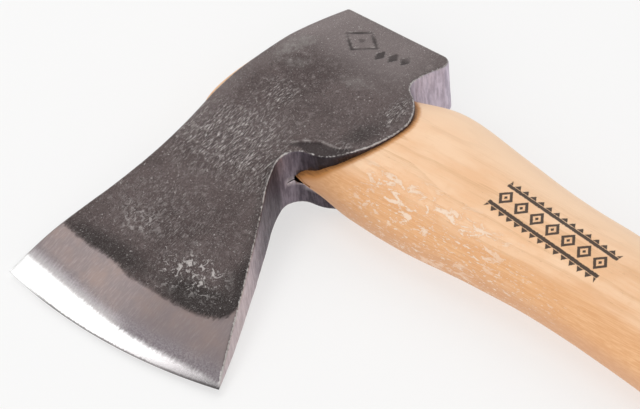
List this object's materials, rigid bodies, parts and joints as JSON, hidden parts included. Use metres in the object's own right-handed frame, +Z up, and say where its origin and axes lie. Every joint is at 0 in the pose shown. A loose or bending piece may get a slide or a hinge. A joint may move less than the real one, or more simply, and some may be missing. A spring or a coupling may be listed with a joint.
{
  "type": "carving hatchet",
  "caption": "Forged carving hatchet: a bearded steel head with a curved, ground edge and a flat poll, wedged on a curved oval hickory handle that ends in a knob.",
  "frame": {"origin": "under the middle of the whole tool's bounding box, on the surface that it lies on", "axes": "+X along the handle from the head to the knob, +Y across the blade from the cutting edge to the poll, +Z up; the hatchet lies as it rests, on the lower side of its blade and its knob, so its middle plane leans 7.2 degrees about X"},
  "size_m": [0.3624, 0.1438, 0.0297],
  "materials": {
    "forged_steel": "dark forge scale, satin where the edge is ground",
    "hickory": "smooth, oiled",
    "wedge_wood": "sawn end grain",
    "staple_steel": "bare"
  },
  "bodies": {
    "root": {"head": "forged_steel", "handle": "hickory", "eye_wedge": "wedge_wood", "eye_staple": "staple_steel"}
  },
  "joints": []
}
